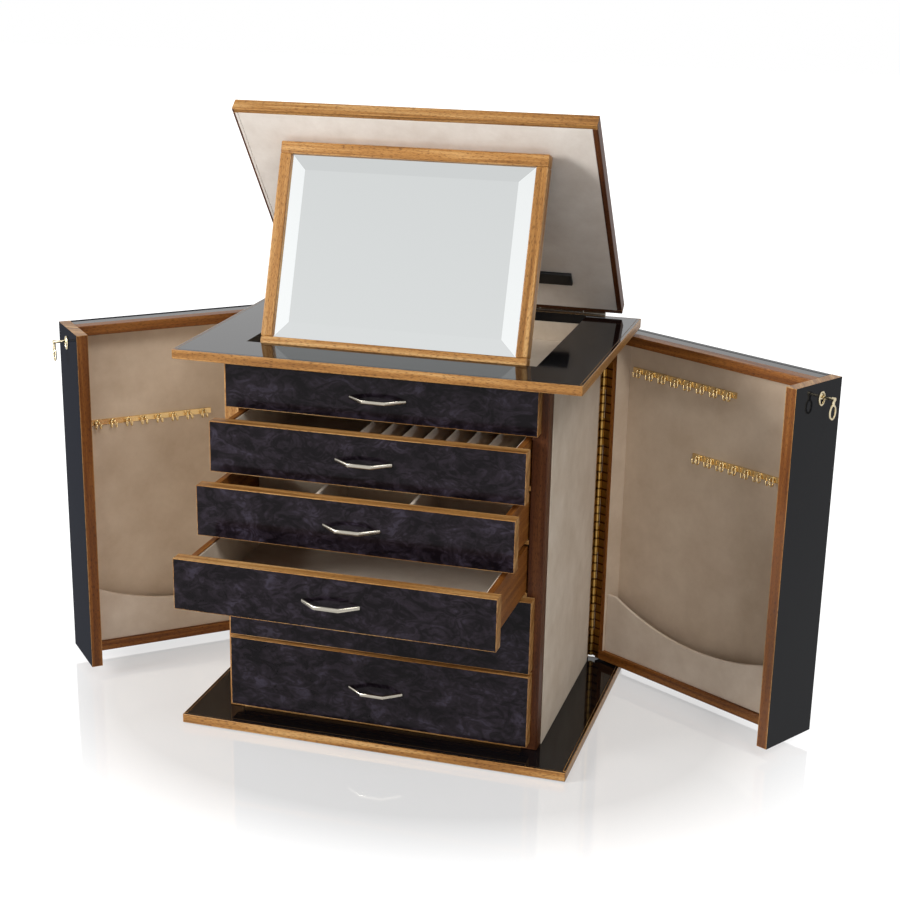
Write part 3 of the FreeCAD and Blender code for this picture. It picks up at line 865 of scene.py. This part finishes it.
def keyQuads(x, face, z):
    end = face - keySet["length"]
    hang = end + keySet["hang"]  # the stem and bow hang just inside the collar's end
    shank = [(x, face - keySet["start"], z), (x, end, z)]
    quads = sweep(shank, circle(keySet["shank"], keySet["shankSides"]), False, (0, 0, 1))
    collar = [(x, end + keySet["collarIn"], z), (x, end - keySet["collarOut"], z)]
    quads += sweep(collar, circle(keySet["collar"], keySet["collarSides"]), False, (0, 0, 1))
    stem = [(x, hang, z - keySet["stemTop"]), (x, hang, z - keySet["stemDrop"])]
    quads += sweep(stem, circle(keySet["stem"], keySet["stemSides"]), False, (0, 1, 0))
    bow = ovalPath(x, hang, z - keySet["bowDrop"] - keySet["bowTall"], keySet["bowWide"], keySet["bowTall"])
    return quads + sweep(bow, circle(keySet["bowWire"], ovalSet["sides"]), True, (0, 1, 0))


hookShape = bpy.data.objects.new("hookShape", hookMesh())
scene.collection.objects.link(hookShape)
hookRow = rowTree()
for side, sign in (("left", -1), ("right", 1)):
    body, key = side + "_door", side + "_key"
    railPiece(side, sign, hookRow, hookShape)
    place = placed(body).inverted() @ Vector(joints[key]["pos_m"]) / mm
    metal(side + "Lock", body, lockQuads(*place), keyGold, ["door_%s_lock" % side])
    metal(side + "Key", key, keyQuads(*place), keyGold, ["key_" + side], carrier=body)
bpy.data.objects.remove(hookShape)
print("hooks, locks and keys done")

# Stage: a pale polished floor in a white room. The lens, mirrors and metal see both as white, the room
# a little greyer high up; a short way from the box the floor takes a painted glow for the lens alone,
# in which its reflection fades out.
stageSet = {"half": 6.0, "colour": "#a4a4a4", "gloss": 0.05, "index": 2.5, "lift": 0.45, "sky": 0.35,
            "squeeze": (0.8, 1.0, 1.0), "near": 0.22, "far": 0.31, "fade": 0.38,
            "dimFrom": 0.36, "dimTo": 0.56, "dim": 0.88}
scene.view_settings.view_transform = "Standard"


# One where a ray comes from the lens, a mirror or clear glass.
def seenRay(tree, path):
    first = add(tree, "ShaderNodeMath", {0: (path, "Is Camera Ray"), 1: (path, "Is Glossy Ray")},
                operation="MAXIMUM")
    return add(tree, "ShaderNodeMath", {0: (first, 0), 1: (path, "Is Transmission Ray")}, operation="MAXIMUM")


def makeFloor():
    material, tree = newMaterial("polishedFloor")
    where = add(tree, "ShaderNodeTexCoord")
    oval = add(tree, "ShaderNodeVectorMath", {0: (where, "Object"), 1: stageSet["squeeze"]},
               operation="MULTIPLY")
    away = add(tree, "ShaderNodeVectorMath", {0: (oval, "Vector")}, operation="LENGTH")
    fade = add(tree, "ShaderNodeMapRange", {"Value": (away, "Value"), "From Min": stageSet["near"],
                                            "From Max": stageSet["far"], "To Max": stageSet["fade"]})
    path = add(tree, "ShaderNodeLightPath")
    # A painted glow for the lens alone, rising away from the box.
    farGlow = add(tree, "ShaderNodeMath", {0: (fade, "Result"), 1: (path, "Is Camera Ray")},
                operation="MULTIPLY")
    lift = add(tree, "ShaderNodeMath", {0: (seenRay(tree, path), 0), 1: stageSet["lift"], 2: (farGlow, 0)},
               operation="MULTIPLY_ADD")
    add(tree, "Principled BSDF", {"Base Color": linear(stageSet["colour"]), "Roughness": stageSet["gloss"],
                                  "IOR": stageSet["index"], "Emission Color": linear("#ffffff"),
                                  "Emission Strength": (lift, 0)})
    half = stageSet["half"]
    mesh = bpy.data.meshes.new("floor")
    corners = [(-half, -half, 0), (half, -half, 0), (half, half, 0), (-half, half, 0)]
    mesh.from_pydata(corners, [], [(0, 1, 2, 3)])
    mesh.materials.append(material)
    floor = bpy.data.objects.new("floor", mesh)
    scene.collection.objects.link(floor)
    floor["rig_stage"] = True


def makeRoom():
    scene.world = bpy.data.worlds.new("whiteRoom")
    scene.world.use_nodes = True
    tree = scene.world.node_tree
    aim = add(tree, "ShaderNodeTexCoord")
    rise = add(tree, "ShaderNodeSeparateXYZ", {0: (aim, "Generated")})
    sky = stageSet["sky"]
    fade = add(tree, "ShaderNodeMapRange", {"Value": (rise, "Z"), "From Min": stageSet["dimFrom"],
                                            "From Max": stageSet["dimTo"], "To Min": 1.0 - sky,
                                            "To Max": stageSet["dim"] - sky})
    path = add(tree, "ShaderNodeLightPath")
    level = add(tree, "ShaderNodeMath", {0: (seenRay(tree, path), 0), 1: (fade, "Result"), 2: sky},
                operation="MULTIPLY_ADD")
    add(tree, "Background", {"Color": linear("#ffffff"), "Strength": (level, 0)})


def areaLight(name, place, target, size, power):
    light = bpy.data.lights.new(name, "AREA")
    light.shape = "RECTANGLE"
    light.size, light.size_y = size
    light.energy = power
    lamp = bpy.data.objects.new(name, light)
    lamp.location = place
    lamp.rotation_mode = "QUATERNION"
    lamp.rotation_quaternion = (Vector(target) - Vector(place)).to_track_quat("-Z", "Y")
    scene.collection.objects.link(lamp)
    lamp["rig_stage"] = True


# Each lamp's place, target and size in metres, and its watts.
lampSet = {"keyLight": ((-2.0, -1.6, 1.0), (0.0, 0.0, 0.25), (0.9, 0.9), 76),
           "frontLight": ((0.6, -2.6, 0.6), (0.0, 0.0, 0.3), (1.2, 0.9), 4),
           "sideFill": ((1.3, -1.5, 2.2), (0.1, 0.0, 0.2), (0.9, 0.9), 26)}
makeFloor()
makeRoom()
for name, lamp in lampSet.items():
    areaLight(name, *lamp)
print("stage done")

# Camera: angles in degrees, place in millimetres, shift in shares of the 900-pixel frame.
cameraSet = {"yaw": 18.349, "pitch": 19.019, "roll": 0.364, "place": (436.34, -1425.53, 693.74),
             "lens": 72.345, "sensor": 36.0, "shift": (77.06 / 900, 56.73 / 900)}
camera = bpy.data.objects.new("camera", bpy.data.cameras.new("camera"))
scene.collection.objects.link(camera)
scene.camera = camera
camera.data.sensor_width = cameraSet["sensor"]
camera.data.lens = cameraSet["lens"]
camera.data.shift_x, camera.data.shift_y = cameraSet["shift"]
yaw, pitch, roll = (math.radians(cameraSet[k]) for k in ("yaw", "pitch", "roll"))
backward = Vector((math.sin(yaw) * math.cos(pitch), -math.cos(yaw) * math.cos(pitch), math.sin(pitch)))
sideways = Vector((math.cos(yaw), math.sin(yaw), 0))
upward = backward.cross(sideways)
right = math.cos(roll) * sideways + math.sin(roll) * upward
above = -math.sin(roll) * sideways + math.cos(roll) * upward
turned = Matrix((right, above, backward)).transposed()
camera.matrix_world = Matrix.Translation(Vector(cameraSet["place"]) * mm) @ turned.to_4x4()

low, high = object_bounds()
